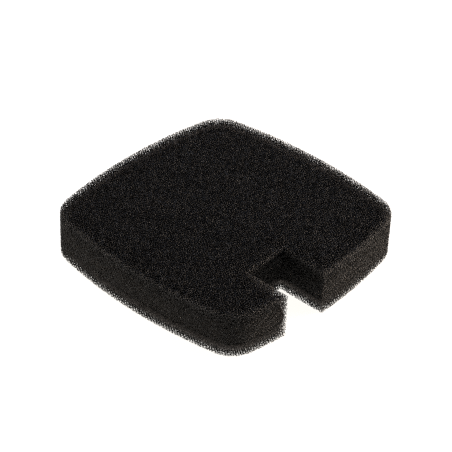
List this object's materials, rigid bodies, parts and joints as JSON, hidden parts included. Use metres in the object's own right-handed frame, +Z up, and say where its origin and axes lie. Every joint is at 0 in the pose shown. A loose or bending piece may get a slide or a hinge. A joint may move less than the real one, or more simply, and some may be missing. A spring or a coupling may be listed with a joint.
{
  "type": "filter sponge pad",
  "caption": "Flat pad of black open-cell filter foam, a rounded square with gently bowed sides and a square notch in one side that clears a riser pipe.",
  "frame": {"origin": "middle of the underside of the pad, in the plane that it rests on", "axes": "+Z up through the pad's thickness, -Y towards the notched side, +X to the right seen from that side"},
  "size_m": [0.16, 0.16, 0.03],
  "materials": {
    "filter_foam": "black open-cell polyurethane foam, matte strands with a faint gloss"
  },
  "bodies": {
    "root": {"foam_pad": "filter_foam"}
  },
  "joints": []
}
